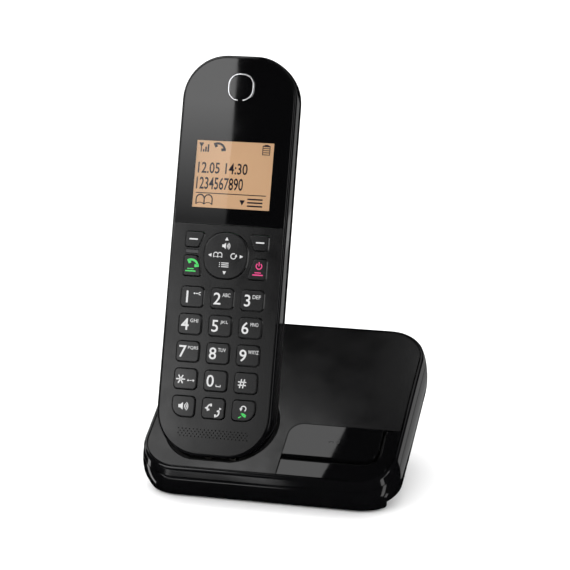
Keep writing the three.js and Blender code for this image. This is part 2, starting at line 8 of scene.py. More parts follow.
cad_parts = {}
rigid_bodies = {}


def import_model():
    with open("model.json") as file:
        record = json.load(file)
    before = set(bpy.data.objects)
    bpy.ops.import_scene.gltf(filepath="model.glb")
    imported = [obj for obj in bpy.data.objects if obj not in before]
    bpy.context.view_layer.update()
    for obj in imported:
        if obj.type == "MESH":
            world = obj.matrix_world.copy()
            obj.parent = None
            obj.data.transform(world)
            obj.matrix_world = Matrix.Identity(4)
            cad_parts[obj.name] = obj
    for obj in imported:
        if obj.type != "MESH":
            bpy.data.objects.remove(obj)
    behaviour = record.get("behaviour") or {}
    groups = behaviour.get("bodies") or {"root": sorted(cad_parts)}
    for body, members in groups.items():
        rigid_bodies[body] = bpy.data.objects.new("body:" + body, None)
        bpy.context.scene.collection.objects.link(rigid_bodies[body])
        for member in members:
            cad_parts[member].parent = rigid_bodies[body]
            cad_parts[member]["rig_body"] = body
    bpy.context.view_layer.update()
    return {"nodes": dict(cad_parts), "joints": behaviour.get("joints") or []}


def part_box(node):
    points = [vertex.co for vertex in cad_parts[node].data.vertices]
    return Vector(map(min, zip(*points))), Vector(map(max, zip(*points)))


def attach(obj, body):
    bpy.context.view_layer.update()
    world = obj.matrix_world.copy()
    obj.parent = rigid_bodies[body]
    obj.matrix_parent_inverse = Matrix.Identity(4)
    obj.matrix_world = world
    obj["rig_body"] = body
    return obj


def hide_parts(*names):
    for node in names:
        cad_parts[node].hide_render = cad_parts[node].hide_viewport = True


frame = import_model()
NODES = frame["nodes"]
MM = 0.001

# ---------- sizes, in millimetres ----------

# Handset, in its own frame: x across, y up from its top edge, z out of its face
HAND_W = 47.0
HAND_L = 159.3
HAND_R = 17.8
HAND_DEPTH = 28.0
TOP_THINNING = 0.82
SIDE_FLAT = 6.0            # depth down to which the sides stay upright
BACK_INSET = 12.5          # how far the back draws in at its flat
BACK_STEPS = 12
SEAM = 11.0                # depth of the seam between front and rear cases
SEAM_GAP = 0.3
LIP = {"inset": 1.35, "depth": 1.85}   # rounding of the handset's front edge
FACE_INSET = 1.1           # from the handset's edge in to its face panels
FACE_EDGE = 2.0            # from the edge in to the opening behind them
WINDOW_BOTTOM = 67.6
LCD = {"width": 31.8, "height": 26.8, "middle": -47.7}
RING = {"x": 0.5, "y": -12.7, "width": 10.8, "height": 11.2, "radius": 4.7, "band": 0.75}
KEY_W, KEY_H, KEY_R = 9.2, 8.0, 1.5
KEY_RISE = 0.9
KEY_BOTTOM = 3.1
KEY_FIT = 0.25
COLUMN, ROW, FIRST_ROW = 12.31, 10.82, 96.76
NAV = {"y": -79.8, "width": 17.8, "height": 18.2, "radius": 7.9}
PITS = {"rows": 4, "columns": 19, "left": -13.6, "top": -148.6, "step": 1.52, "drop": 0.95,
        "radius": 0.31, "depth": 1.1}
BAY = {"half": 14.0, "top": -62.0, "bottom": -124.0}

# Base, in the tile's frame: x across, y up the slope, z out of the tile
TILE_W = 103.0
TILE_L = 87.6
TILE_R = 16.0
RIM = 1.3                  # width of the raised rim round the matt tile
BAND = 4.0                 # depth of the gloss band under the rim
BAND_FLARE = 0.5           # how far its foot stands out beyond the rim
HAND_X = -21.9
CRADLE_BACK = 47.5         # how far up the tile the handset's opening is looked for
CRADLE_ROOM = 1.1          # room between the handset and the edge of its opening
CRADLE_FRONT = 0.8         # more room at the front end
PANEL = {"left": 5.8, "back": 29.6}
LOCATOR = {"left": 5.8, "right": 43.3, "front": 12.2, "back": 29.6, "r_left": 6.0, "r_right": 5.5}
PANEL_THICK = 1.2
GAP = 0.3
SLOPE_TAN = math.tan(math.radians(25))
RIM_GROOVE = 0.35
SWELL = 1.2                # how far the wall stands out beyond the rim
WIDEST = 10.0              # depth of its widest line
BEND_ABOVE, BEND_BELOW = 0.0194, 0.0225    # how fast it draws in from there
EDGE = 1.2                 # rounding of the rim
PLATE = 2.0
WALL = 2.0
FLOOR_Z = 0.8
PEDESTAL = {"half": 41.0, "front": -32.0, "back": 31.0, "radius": 12.0}
TOE = {"half": 48.5, "front": -60.0, "back": -26.0, "radius": 7.0}
UNDERSIDE = {"angle": 20.6, "y": -35.0, "z": 2.9}
JACKS = ((22.0, 9.0, 10.0), (-2.0, 13.0, 12.0))    # x, width, height
JACK_Z = 15.0
SCREWS = (-30.0, 30.0)
SCREW_Y = 20.0
FEET = {"foot_front_left": (-33, -29.5), "foot_front_right": (33, -29.5),
        "foot_rear_left": (-36, 10), "foot_rear_right": (36, 10)}
STRIP_TOP = 9.9            # the front strip stops short of the button, leaving a dark step
SIDE_STRIP = 44.6

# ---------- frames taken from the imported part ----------


def joint_axis(name):
    found = next(j for j in frame["joints"] if j["name"] == name)
    return Vector(found["axis"]).normalized()


def reach(node, direction):
    """How far a CAD node reaches along a direction, in metres."""
    return max(v.co.dot(direction) for v in NODES[node].data.vertices)


def frame_matrix(x, y, z, along_x, along_y, along_z):
    """Local millimetres to metres: axes x, y, z and the origin's place along each."""
    origin = x * along_x + y * along_y + z * along_z
    turn = Matrix((x, y, z)).transposed().to_4x4()
    return Matrix.Translation(origin) @ turn @ Matrix.Scale(MM, 4)


ACROSS = Vector((1, 0, 0))
HAND_UP = joint_axis("handset_lift")
HAND_OUT = -joint_axis("battery_cover_lift")
TILE_OUT = -joint_axis("locator_press")
TILE_UP = TILE_OUT.cross(ACROSS)
case_low, case_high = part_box("handset_front_case")
HAND = frame_matrix(
    ACROSS, HAND_UP, HAND_OUT,
    (case_low.x + case_high.x) / 2,
    reach("handset_front_case", HAND_UP),
    reach("handset_front_case", HAND_OUT),
)
TILE = frame_matrix(
    ACROSS, TILE_UP, TILE_OUT,
    0.0,
    BAND_FLARE * MM - reach("base_upper_case", -TILE_UP),
    reach("base_upper_case", TILE_OUT),
)
WORLD = Matrix.Scale(MM, 4)

# ---------- outlines ----------


def fillet(corners, segments=10):
    """Points round corners (x, y, radius), counter-clockwise, each corner an arc."""
    points = []
    count = len(corners)
    for i, (x, y, radius) in enumerate(corners):
        corner = Vector((x, y))
        if radius <= 0:
            points.append(corner)
            continue
        back = (Vector(corners[i - 1][:2]) - corner).normalized()
        ahead = (Vector(corners[(i + 1) % count][:2]) - corner).normalized()
        half = math.acos(max(-1.0, min(1.0, back.dot(ahead)))) / 2
        centre = corner + (back + ahead).normalized() * radius / math.sin(half)
        start = corner + back * radius / math.tan(half) - centre
        end = corner + ahead * radius / math.tan(half) - centre
        first = math.atan2(start.y, start.x)
        sweep = (math.atan2(end.y, end.x) - first + math.pi) % (2 * math.pi) - math.pi
        for k in range(segments + 1):
            angle = first + sweep * k / segments
            points.append(centre + radius * Vector((math.cos(angle), math.sin(angle))))
    return points


def rounded(width, height, radius, x=0.0, y=0.0, segments=10):
    w, h = width / 2, height / 2
    r = min(radius, w - 0.01, h - 0.01)
    corners = [(x + w, y - h, r), (x + w, y + h, r), (x - w, y + h, r), (x - w, y - h, r)]
    return fillet(corners, segments)


def offset(points, distance):
    """The outline moved outwards by a distance, corner by corner."""
    moved = []
    count = len(points)
    for i, point in enumerate(points):
        before = (point - points[i - 1]).normalized()
        after = (points[(i + 1) % count] - point).normalized()
        normal = Vector((before.y + after.y, -before.x - after.x))
        if normal.length < 1e-9:
            normal = Vector((before.y, -before.x))
        normal.normalize()
        spread = max(0.3, normal.dot(Vector((before.y, -before.x))))
        moved.append(point + normal * distance / spread)
    return moved


# ---------- meshes ----------


def make(name, verts, faces, matrix):
    mesh = bpy.data.meshes.new(name)
    mesh.from_pydata([tuple(matrix @ Vector(v)) for v in verts], [], faces)
    mesh.validate()
    mesh.update()
    piece = bpy.data.objects.new(name, mesh)
    bpy.context.scene.collection.objects.link(piece)
    return piece


def loft(name, rings, matrix):
    """A closed skin through rings of points, lowest first, with flat caps."""
    size = len(rings[0])
    verts = [tuple(p) for ring in rings for p in ring]
    faces = [tuple(reversed(range(size)))]
    for level in range(len(rings) - 1):
        a, b = level * size, (level + 1) * size
        for i in range(size):
            j = (i + 1) % size
            faces.append((a + i, a + j, b + j, b + i))
    top = (len(rings) - 1) * size
    faces.append(tuple(range(top, top + size)))
    return make(name, verts, faces, matrix)


def prism(name, outline, profile, matrix):
    """An outline carried up through (z, outward offset) steps."""
    rings = [[(p.x, p.y, z) for p in offset(outline, grow)] for z, grow in profile]
    return loft(name, rings, matrix)


def quarter(steps):
    """The angles of a quarter turn in equal steps."""
    return [math.pi / 2 * k / steps for k in range(steps + 1)]


def eased(low, high, top, foot=0.0, steps=4):
    """A profile from low to high with a rounded top edge, and a rounded foot if asked."""
    turn = quarter(steps)
    profile = [(low, 0.0)]
    if foot:
        profile = [(low + foot * (1 - math.cos(a)), -foot * (1 - math.sin(a))) for a in turn]
    return profile + [(high - top * (1 - math.sin(a)), -top * (1 - math.cos(a))) for a in turn]


def flared(low, high, radius, steps=3):
    """A cutter's profile: straight, then opening out so that the hole's edge is rounded."""
    profile = [(low, 0.0), (high - radius, 0.0)]
    profile += [(high - radius * (1 - math.sin(a)), radius * (1 - math.cos(a)))
                for a in quarter(steps)[1:]]
    return profile + [(high + 2.0, radius)]


def straighten(piece, local):
    """Into a local frame in millimetres, on a fine grid, so that flat faces are exactly flat."""
    piece.data.transform(local)
    for vertex in piece.data.vertices:
        vertex.co = [round(c, 4) for c in vertex.co]


def boolean(piece, cutter, operation="DIFFERENCE", matrix=HAND):
    """Cuts, joins or keeps the overlap of two closed forms, in a frame their flats lie true in."""
    straighten(piece, matrix.inverted())
    straighten(cutter, matrix.inverted())
    step = piece.modifiers.new("cut", "BOOLEAN")
    step.operation = operation
    step.solver = "EXACT"
    step.object = cutter
    settle(piece)
    piece.data.transform(matrix)
    bpy.data.objects.remove(cutter)
    return piece


def cut_tile(piece, cutter):
    return boolean(piece, cutter, matrix=TILE)


def settle(piece):
    """Applies the piece's modifiers to its mesh."""
    graph = bpy.context.evaluated_depsgraph_get()
    mesh = bpy.data.meshes.new_from_object(piece.evaluated_get(graph))
    piece.modifiers.clear()
    piece.data = mesh
    return piece


def merged(name, pieces):
    """Several meshes as one object."""
    verts, faces = [], []
    for piece in pieces:
        base = len(verts)
        verts += [tuple(piece.matrix_world @ v.co) for v in piece.data.vertices]
        faces += [tuple(base + i for i in face.vertices) for face in piece.data.polygons]
        bpy.data.objects.remove(piece)
    return make(name, verts, faces, Matrix.Identity(4))


def soften(piece, angle=32):
    """Smooth shading that keeps flat faces flat and edges over the angle crisp."""
    piece.data.shade_smooth()
    piece.data.set_sharp_from_angle(angle=math.radians(angle))
    step = piece.modifiers.new("weighted", "WEIGHTED_NORMAL")
    step.keep_sharp = True
    return piece


def finish_piece(piece, body, material, replaced=(), angle=32):
    piece.data.materials.clear()
    piece.data.materials.append(material)
    soften(piece, angle)
    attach(piece, body)
    if replaced:
        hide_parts(*replaced)
    return piece


# ---------- materials ----------


def principled(name, color, roughness, metallic=0.0):
    material = bpy.data.materials.new(name)
    material.use_nodes = True
    shader = material.node_tree.nodes["Principled BSDF"]
    shader.inputs["Base Color"].default_value = (*color, 1)
    shader.inputs["Roughness"].default_value = roughness
    shader.inputs["Metallic"].default_value = metallic
    return material, material.node_tree.nodes, material.node_tree.links, shader


def noise(nodes, links, scale, detail=2.0):
    place = nodes.new("ShaderNodeTexCoord")
    texture = nodes.new("ShaderNodeTexNoise")
    texture.inputs["Scale"].default_value = scale
    texture.inputs["Detail"].default_value = detail
    links.new(place.outputs["Object"], texture.inputs["Vector"])
    return texture.outputs["Fac"]


def spread(nodes, links, value, low, high):
    """A noise value stretched to run from low to high."""
    stretch = nodes.new("ShaderNodeMapRange")
    stretch.inputs["From Min"].default_value = 0.3
    stretch.inputs["From Max"].default_value = 0.7
    stretch.inputs["To Min"].default_value = low
    stretch.inputs["To Max"].default_value = high
    links.new(value, stretch.inputs["Value"])
    return stretch.outputs["Result"]


def mixed(nodes, links, low, high, factor):
    """A colour that runs from low to high with a noise value."""
    shade = nodes.new("ShaderNodeMix")
    shade.data_type = "RGBA"
    shade.inputs["A"].default_value = (*low, 1)
    shade.inputs["B"].default_value = (*high, 1)
    links.new(factor, shade.inputs["Factor"])
    return shade.outputs["Result"]


def moulded(name, color, roughness, grain=2600.0, bump=0.05, wander=0.06, tint=0.12, coat=0.0):
    """Moulded plastic: a fine grain in the surface, and finish and colour that wander a little."""
    material, nodes, links, shader = principled(name, color, roughness)
    worn = noise(nodes, links, 90.0, 3.0)
    links.new(spread(nodes, links, worn, roughness - wander, roughness + wander),
              shader.inputs["Roughness"])
    dark = [c * (1 - tint) for c in color]
    light = [c * (1 + tint) for c in color]
    shade = mixed(nodes, links, dark, light, noise(nodes, links, 45.0, 4.0))
    links.new(shade, shader.inputs["Base Color"])
    relief = nodes.new("ShaderNodeBump")
    relief.inputs["Strength"].default_value = bump
    relief.inputs["Distance"].default_value = 0.0001
    links.new(noise(nodes, links, grain), relief.inputs["Height"])
    links.new(relief.outputs["Normal"], shader.inputs["Normal"])
    shader.inputs["Coat Weight"].default_value = coat
    shader.inputs["Coat Roughness"].default_value = 0.04
    return material


def metal(name, color, roughness, grain=700.0):
    material, nodes, links, shader = principled(name, color, roughness, 1.0)
    worn = noise(nodes, links, grain, 3.0)
    links.new(spread(nodes, links, worn, roughness * 0.7, roughness * 1.4), shader.inputs["Roughness"])
    return material


def clear_sheet():
    material, nodes, links, shader = principled("clear_acrylic", (1, 1, 1), 0.0)
    shader.inputs["Transmission Weight"].default_value = 1.0
    shader.inputs["IOR"].default_value = 1.49
    smear = noise(nodes, links, 120.0, 3.0)
    links.new(spread(nodes, links, smear, 0.0, 0.02), shader.inputs["Roughness"])
    return material


def backlit_display():
    """Amber display: a lit film with a faint grid of cells, its brightness a little uneven."""
    material, nodes, links, shader = principled("amber_display", (0.4, 0.25, 0.14), 0.5)
    cells = nodes.new("ShaderNodeTexBrick")
    cells.offset = 0.0
    cells.inputs["Scale"].default_value = 1.0
    cells.inputs["Brick Width"].default_value = 0.00028
    cells.inputs["Row Height"].default_value = 0.00028
    cells.inputs["Mortar Size"].default_value = 0.00002
    cells.inputs["Color1"].default_value = (*LCD_GLOW, 1)
    cells.inputs["Color2"].default_value = (*LCD_GLOW, 1)
    cells.inputs["Mortar"].default_value = (*(c * 0.93 for c in LCD_GLOW), 1)
    place = nodes.new("ShaderNodeTexCoord")
    turn = nodes.new("ShaderNodeVectorRotate")
    turn.rotation_type = "X_AXIS"
    turn.inputs["Angle"].default_value = -HAND.to_euler().x
    links.new(place.outputs["Object"], turn.inputs["Vector"])
    links.new(turn.outputs["Vector"], cells.inputs["Vector"])
    cloud = nodes.new("ShaderNodeMix")
    cloud.data_type = "RGBA"
    cloud.blend_type = "MULTIPLY"
    cloud.inputs["Factor"].default_value = 1.0
    links.new(cells.outputs["Color"], cloud.inputs["A"])
    links.new(spread(nodes, links, noise(nodes, links, 40.0, 1.0), 0.95, 1.05), cloud.inputs["B"])
    links.new(cloud.outputs["Result"], shader.inputs["Emission Color"])
    shader.inputs["Emission Strength"].default_value = 0.92
    return material


def ink(name, color, painted_glow=0.0):
    """Printed ink, a little uneven; when asked, it also glows in its own colour, which is painted light.
    """
    material, nodes, links, shader = principled(name, color, 0.5)
    worn = [c * 0.82 for c in color]
    shade = mixed(nodes, links, worn, color, noise(nodes, links, 3500.0))
    links.new(shade, shader.inputs["Base Color"])
    # painted light: the ink emits its own colour, with no lamp behind it
    if painted_glow:
        links.new(shade, shader.inputs["Emission Color"])
        shader.inputs["Emission Strength"].default_value = painted_glow
    return material


LCD_GLOW = (0.62, 0.38, 0.215)
CASE = moulded("matt_abs", (0.0042, 0.0042, 0.0044), 0.21, 2200.0, 0.12)
TILE_FINISH = moulded("matt_tile", (0.0036, 0.0036, 0.0038), 0.2, 1700.0, 0.1)
SATIN = moulded("satin_abs", (0.0045, 0.0045, 0.0048), 0.3, 2600.0, 0.05)
# Painted shade: a near-black, rougher copy of the satin plastic, so the cradle's pocket reads as a dark
# gap
PAINTED_SHADE_ABS = moulded("painted_shade_abs", (0.0012, 0.0012, 0.0013), 0.6, 2600.0, 0.05)
GLOSS = moulded("gloss_abs", (0.0022, 0.0022, 0.0025), 0.07, 260.0, 0.02, 0.025)
PIANO = moulded("piano_black", (0.0015, 0.0015, 0.0017), 0.03, 200.0, 0.008, 0.015)
KEYS = moulded("key_plastic", (0.0062, 0.0062, 0.0065), 0.22, 3200.0, 0.06)
RUBBER = moulded("soft_rubber", (0.018, 0.018, 0.018), 0.75, 1500.0, 0.3)
PARTS = moulded("black_part", (0.012, 0.012, 0.012), 0.4, 1800.0, 0.08)
SMOKED = moulded("smoked_lens", (0.03, 0.03, 0.031), 0.22, 1200.0, 0.03)
MASK = moulded("solder_mask", (0.02, 0.12, 0.05), 0.35, 600.0, 0.1, 0.1, 0.3)
WRAP = moulded("cell_wrap", (0.05, 0.2, 0.09), 0.3, 800.0, 0.04, 0.06, 0.2, 0.4)
SILVER = metal("silver_plating", (0.78, 0.78, 0.8), 0.16, 160.0)
NICKEL = metal("nickel", (0.66, 0.63, 0.56), 0.28)
# Painted shade: a dark copy of the nickel, for the base's contacts drawn as if in shadow
PAINTED_SHADE_NICKEL = metal("painted_shade_nickel", (0.05, 0.048, 0.043), 0.45)
STEEL = metal("zinc_steel", (0.55, 0.55, 0.56), 0.35)
CLEAR = clear_sheet()
DISPLAY = backlit_display()
WHITE_INK = ink("white_ink", (0.5, 0.5, 0.5))
# Painted light: the green and red prints glow a little, though no lamp lights them
GREEN_INK_PAINTED_GLOW = ink("green_ink_painted_glow", (0.03, 0.4, 0.07), 0.35)
RED_INK_PAINTED_GLOW = ink("red_ink_painted_glow", (0.5, 0.02, 0.14), 0.3)
LCD_INK = ink("display_ink", (0.02, 0.008, 0.05))
GREY_INK = ink("grey_ink", (0.035, 0.035, 0.036))

# ---------- handset shells ----------


def thinned(points):
    """The handset's depth eases towards its top."""
    return [(x, y, z * (TOP_THINNING - (1 - TOP_THINNING) * y / HAND_L)) for x, y, z in points]


def hand_ring(inset, z):
    radius = max(2.0, HAND_R - inset)
    outline = rounded(HAND_W - 2 * inset, HAND_L - 2 * inset, radius, 0, -HAND_L / 2, 14)
    return thinned([(p.x, p.y, z) for p in outline])


def back_curve(inset):
    """(inset, depth) steps from the rounded back up to the upright sides."""
    rise = HAND_DEPTH - SIDE_FLAT - inset
    return [(inset + BACK_INSET * (1 - math.cos(a)), SIDE_FLAT + rise * math.sin(a))
            for a in reversed(quarter(BACK_STEPS))]


def hand_outer(name):
    levels = [(i, -d) for i, d in back_curve(0.0)]
    levels += [(LIP["inset"] * (1 - math.cos(a)), -LIP["depth"] * (1 - math.sin(a)))
               for a in quarter(5)]
    return loft(name, [hand_ring(i, z) for i, z in levels], HAND)


def hand_inner(skin):
    levels = [(i, -d) for i, d in back_curve(skin)]
    levels.append((skin, 3.0))
    return loft("inner", [hand_ring(i, z) for i, z in levels], HAND)


def slab(name, low, high):
    box = [Vector((60, -200)), Vector((60, 40)), Vector((-60, 40)), Vector((-60, -200))]
    rings = [thinned([(p.x, p.y, z) for p in box]) for z in (low, high)]
    return loft(name, rings, HAND)


def face_outline(inset, top, bottom):
    """The handset's face outline drawn in, kept between two heights."""
    half = HAND_W / 2 - inset
    upper = -inset if top is None else top
    lower = inset - HAND_L if bottom is None else bottom
    radius = HAND_R - inset
    return fillet([
        (half, lower, radius if bottom is None else 0),
        (half, upper, radius if top is None else 0),
        (-half, upper, radius if top is None else 0),
        (-half, lower, radius if bottom is None else 0),
    ], 14)


def front_band():
    """Gloss band round the handset's edge, with a ledge that carries the face's two panels."""
    band = boolean(hand_outer("edge_band"), slab("keep", -SEAM, 5.0), "INTERSECT")
    boolean(band, prism("well", face_outline(FACE_INSET - 0.1, None, None),
                        [(-1.8, 0.0), (3.0, 0.0)], HAND))
    boolean(band, prism("bore", face_outline(FACE_EDGE, None, None), [(-14.0, 0.0), (3.0, 0.0)], HAND))
    return band


KEY_ROWS = (
    ("key_1", "key_2", "key_3"),
    ("key_4", "key_5", "key_6"),
    ("key_7", "key_8", "key_9"),
    ("key_star", "key_0", "key_hash"),
    ("key_speaker", "key_intercom", "key_recall"),
)
SIDE_KEYS = {
    "soft_key_right": ((11.4, -77.0), (16.9, -77.0), (16.9, -71.0), (9.0, -71.0)),
    "off_key": ((9.4, -88.5), (16.9, -88.5), (16.9, -80.4), (11.6, -80.4)),
}
MIRRORED = {"soft_key_left": "soft_key_right", "talk_key": "off_key"}
WORN_CORNER = 4.4          # the last row's outer bottom corners follow the chin


def key_middle(row, column):
    return COLUMN * (column - 1), -(FIRST_ROW + ROW * row)


def key_outlines():
    """Every key's outline in the handset's frame."""
    outlines = {}
    for row, names in enumerate(KEY_ROWS):
        for column, name in enumerate(names):
            x, y = key_middle(row, column)
            w, h = KEY_W / 2, KEY_H / 2
            right = WORN_CORNER if row == 4 and column == 2 else KEY_R
            left = WORN_CORNER if row == 4 and column == 0 else KEY_R
            outlines[name] = fillet([
                (x + w, y - h, right), (x + w, y + h, KEY_R),
                (x - w, y + h, KEY_R), (x - w, y - h, left),
            ], 6)
    for name, corners in SIDE_KEYS.items():
        outlines[name] = fillet([(x, y, 0.9) for x, y in corners], 5)
    for name, source in MIRRORED.items():
        corners = [(-x, y, 0.9) for x, y in reversed(SIDE_KEYS[source])]
        outlines[name] = fillet(corners, 5)
    outlines["navigator_key"] = rounded(NAV["width"], NAV["height"], NAV["radius"], 0, NAV["y"], 16)
    return outlines


OUTLINES = key_outlines()
STRIP = rounded(5.3, 1.4, 0.4, -14.0, -78.75, 4)


def keypad_plate():
    plate = prism("keypad_plate", face_outline(FACE_INSET, -WINDOW_BOTTOM - 0.1, None),
                  eased(-1.6, 0.0, 0.22), HAND)
    holes = [prism("hole", offset(outline, KEY_FIT), flared(-3.0, 0.0, 0.18), HAND)
             for outline in OUTLINES.values()]
    holes.append(prism("hole", offset(STRIP, 0.12), flared(-3.0, 0.0, 0.1), HAND))
    return boolean(boolean(plate, merged("holes", holes)), microphone_dots())


def microphone_dots():
    """Staggered rows of small pits over the microphone, in the chin."""
    pits = []
    for row in range(PITS["rows"]):
        for column in range(PITS["columns"]):
            x = PITS["left"] + PITS["step"] * (column + (row % 2) / 2)
            y = PITS["top"] - PITS["drop"] * row
            pit = circle(PITS["radius"], x, y, 8)
            pits.append(prism("pit", pit, [(-PITS["depth"], 0.0), (1.0, 0.0)], HAND))
    return merged("pits", pits)


def ring_outline(grow):
    return rounded(RING["width"] + 2 * grow, RING["height"] + 2 * grow, RING["radius"] + grow,
                   RING["x"], RING["y"], 14)


def window_sheet():
    """Gloss black sheet with a groove round the earpiece trim and an opening for the display."""
    outline = face_outline(FACE_INSET, None, -WINDOW_BOTTOM)
    sheet = prism("window_sheet", outline, eased(-1.15, 0.0, 0.2), HAND)
    groove = prism("groove", ring_outline(0.14), [(-0.45, 0.0), (1.0, 0.0)], HAND)
    island = prism("island", ring_outline(-RING["band"] - 0.14), [(-0.6, 0.0), (1.2, 0.0)], HAND)
    boolean(sheet, boolean(groove, island))
    return boolean(sheet, prism("sight", pane_outline(0.0), [(-3.0, 0.0), (1.0, 0.0)], HAND))


def pane_outline(shrink):
    return rounded(LCD["width"] - 2 * shrink, LCD["height"] - 2 * shrink, 0.15, 0, LCD["middle"], 2)


def display_pane():
    return prism("display_pane", pane_outline(0.02), [(-0.8, 0.0), (0.0, 0.0)], HAND)


def earpiece_ring():
    trim = prism("earpiece_trim", ring_outline(0.0), eased(-0.42, 0.22, 0.3), HAND)
    inner = prism("inner", ring_outline(-RING["band"]), flared(-1.0, 0.22, 0.25), HAND)
    gap = prism("gap", rounded(2.3, 3.0, 0.4, RING["x"], RING["y"] - RING["height"] / 2, 3),
                [(-1.0, 0.0), (1.0, 0.0)], HAND)
    return boolean(boolean(trim, inner), gap)


def bay_prism(name, shrink):
    height = BAY["top"] - BAY["bottom"] - 2 * shrink
    middle = (BAY["top"] + BAY["bottom"]) / 2
    outline = rounded(2 * (BAY["half"] - shrink), height, 2.4 - shrink, 0, middle, 8)
    return prism(name, outline, [(-40.0, 0.0), (-12.5, 0.0)], HAND)


def rear_shell():
    shell = boolean(hand_outer("rear_shell"), slab("keep", -60.0, -SEAM - SEAM_GAP), "INTERSECT")
    boolean(shell, hand_inner(1.6))
    boolean(shell, bay_prism("bay", 0.0))
    slots = [prism("slot", rounded(8, 1.1, 0.5, 0, -v, 5), [(-40.0, 0.0), (-20.0, 0.0)], HAND)
             for v in (22, 25, 28, 31, 34)]
    doors = [prism("door", rounded(5, 8, 0.2, 5 * side, -156.2, 2), [(-21.9, 0.0), (-14.9, 0.0)], HAND)
             for side in (-1, 1)]
    return boolean(shell, merged("openings", slots + doors))


def battery_cover():
    cover = boolean(hand_outer("battery_door"), bay_prism("blank", GAP), "INTERSECT")
    boolean(cover, hand_inner(1.5))
    grip = [prism("grip", rounded(11 - abs(k) * 1.2, 0.6, 0.29, 0, -68.5 - 1.7 * k, 4),
                  [(-40.0, 0.0), (-24.6, 0.0)], HAND) for k in range(-2, 3)]
    return boolean(cover, merged("grips", grip))


def lay_handset():
    finish_piece(front_band(), "handset", GLOSS, ("handset_front_case",))
    finish_piece(keypad_plate(), "handset", CASE, ("handset_front_case",))
    finish_piece(window_sheet(), "handset", PIANO, ("window_panel",))
    finish_piece(display_pane(), "handset", CLEAR, ("window_panel",))
    finish_piece(earpiece_ring(), "handset", SILVER, ("earpiece_ring",), 50)
    finish_piece(rear_shell(), "handset", SATIN, ("handset_rear_case",))
    finish_piece(battery_cover(), "battery_cover", SATIN, ("battery_cover",))
    strip = prism("indicator_strip", STRIP, eased(-1.5, 0.18, 0.2), HAND)
    finish_piece(strip, "handset", SMOKED, ("charge_indicator",))


def lay_keys():
    for name, outline in OUTLINES.items():
        if name == "navigator_key":
            profile = eased(-2.8, KEY_RISE, 0.5, 0.0, 5)
        else:
            profile = eased(-KEY_BOTTOM, KEY_RISE, 0.38, 0.0, 5)
        cap = prism(name + "_cap", outline, profile, HAND)
        finish_piece(cap, name, KEYS, (name,), 50)
        printed(name + "_legend", legend_marks(name), name, INKS.get(name, WHITE_INK))
        if name == "key_recall":
            printed(name + "_leaf", leaf_marks(*KEY_AT[name]), name, GREEN_INK_PAINTED_GLOW)


# ---------- legends ----------

INK = 0.03                 # how thick printed marks stand
ARC_STEPS = 14


def mark(outline, z=KEY_RISE):
    return prism("mark", outline, [(z, 0.0), (z + INK, 0.0)], HAND)


def bar(x, y, width, height, z=KEY_RISE, turn=0.0):
    spin = Matrix.Rotation(math.radians(turn), 2)
    corners = [(width, -height), (width, height), (-width, height), (-width, -height)]
    return mark([Vector((x, y)) + spin @ Vector(c) / 2 for c in corners], z)


def arrow_head(x, y, size, turn, z=KEY_RISE):
    spin = Matrix.Rotation(math.radians(turn), 2)
    corners = [(size, 0), (-size * 0.6, size * 0.85), (-size * 0.6, -size * 0.85)]
    return mark([Vector((x, y)) + spin @ Vector(c) / 2 for c in corners], z)


def arc(x, y, radius, start, end, width, z=KEY_RISE, squash=1.0):
    """A curved stroke from one angle to another, in degrees."""
    outer, inner = [], []
    for k in range(ARC_STEPS + 1):
        angle = math.radians(start + (end - start) * k / ARC_STEPS)
        ray = Vector((math.cos(angle), math.sin(angle) * squash))
        outer.append(Vector((x, y)) + ray * (radius + width / 2))
        inner.append(Vector((x, y)) + ray * (radius - width / 2))
    return mark(outer + inner[::-1], z)


def dot(x, y, radius):
    turns = [math.pi * k / 6 for k in range(12)]
    return mark([Vector((x + radius * math.cos(a), y + radius * math.sin(a))) for a in turns])


def lettering(string, x, y, height, z=KEY_RISE, width=None, bold=0.0, anchor=0.0):
    """Characters in Blender's own font, their left edge (or middle) at x and their foot at y."""
    curve = bpy.data.curves.new("lettering", "FONT")
    curve.body = string
    curve.extrude = 0.1
    curve.offset = bold
    curve.resolution_u = 3
    writing = bpy.data.objects.new("lettering", curve)
    bpy.context.scene.collection.objects.link(writing)
    graph = bpy.context.evaluated_depsgraph_get()
    mesh = bpy.data.meshes.new_from_object(writing.evaluated_get(graph))
    bpy.data.objects.remove(writing)
    xs = [v.co.x for v in mesh.vertices]
    ys = [v.co.y for v in mesh.vertices]
    tall = height / (max(ys) - min(ys))
    wide = width / (max(xs) - min(xs)) if width else tall
    left = x - anchor * (max(xs) - min(xs)) * wide
    verts = [(left + (v.co.x - min(xs)) * wide, y + (v.co.y - min(ys)) * tall,
              z + INK * (v.co.z > 0)) for v in mesh.vertices]
    faces = [tuple(face.vertices) for face in mesh.polygons]
    return make("lettering", verts, faces, HAND)


def handset_mark(x, y, size, turn, z=KEY_RISE):
    """A telephone receiver lying on an arc, with its two cups."""
    grip = arc(x, y - size * 0.5, size * 0.62, 40 + turn, 140 + turn, size * 0.2, z)
    cups = []
    for angle in (36 + turn, 144 + turn):
        ray = Vector((math.cos(math.radians(angle)), math.sin(math.radians(angle))))
        middle = Vector((x, y - size * 0.5)) + ray * size * 0.53
        cups.append(bar(middle.x, middle.y, size * 0.42, size * 0.26, z, angle))
    return [grip] + cups


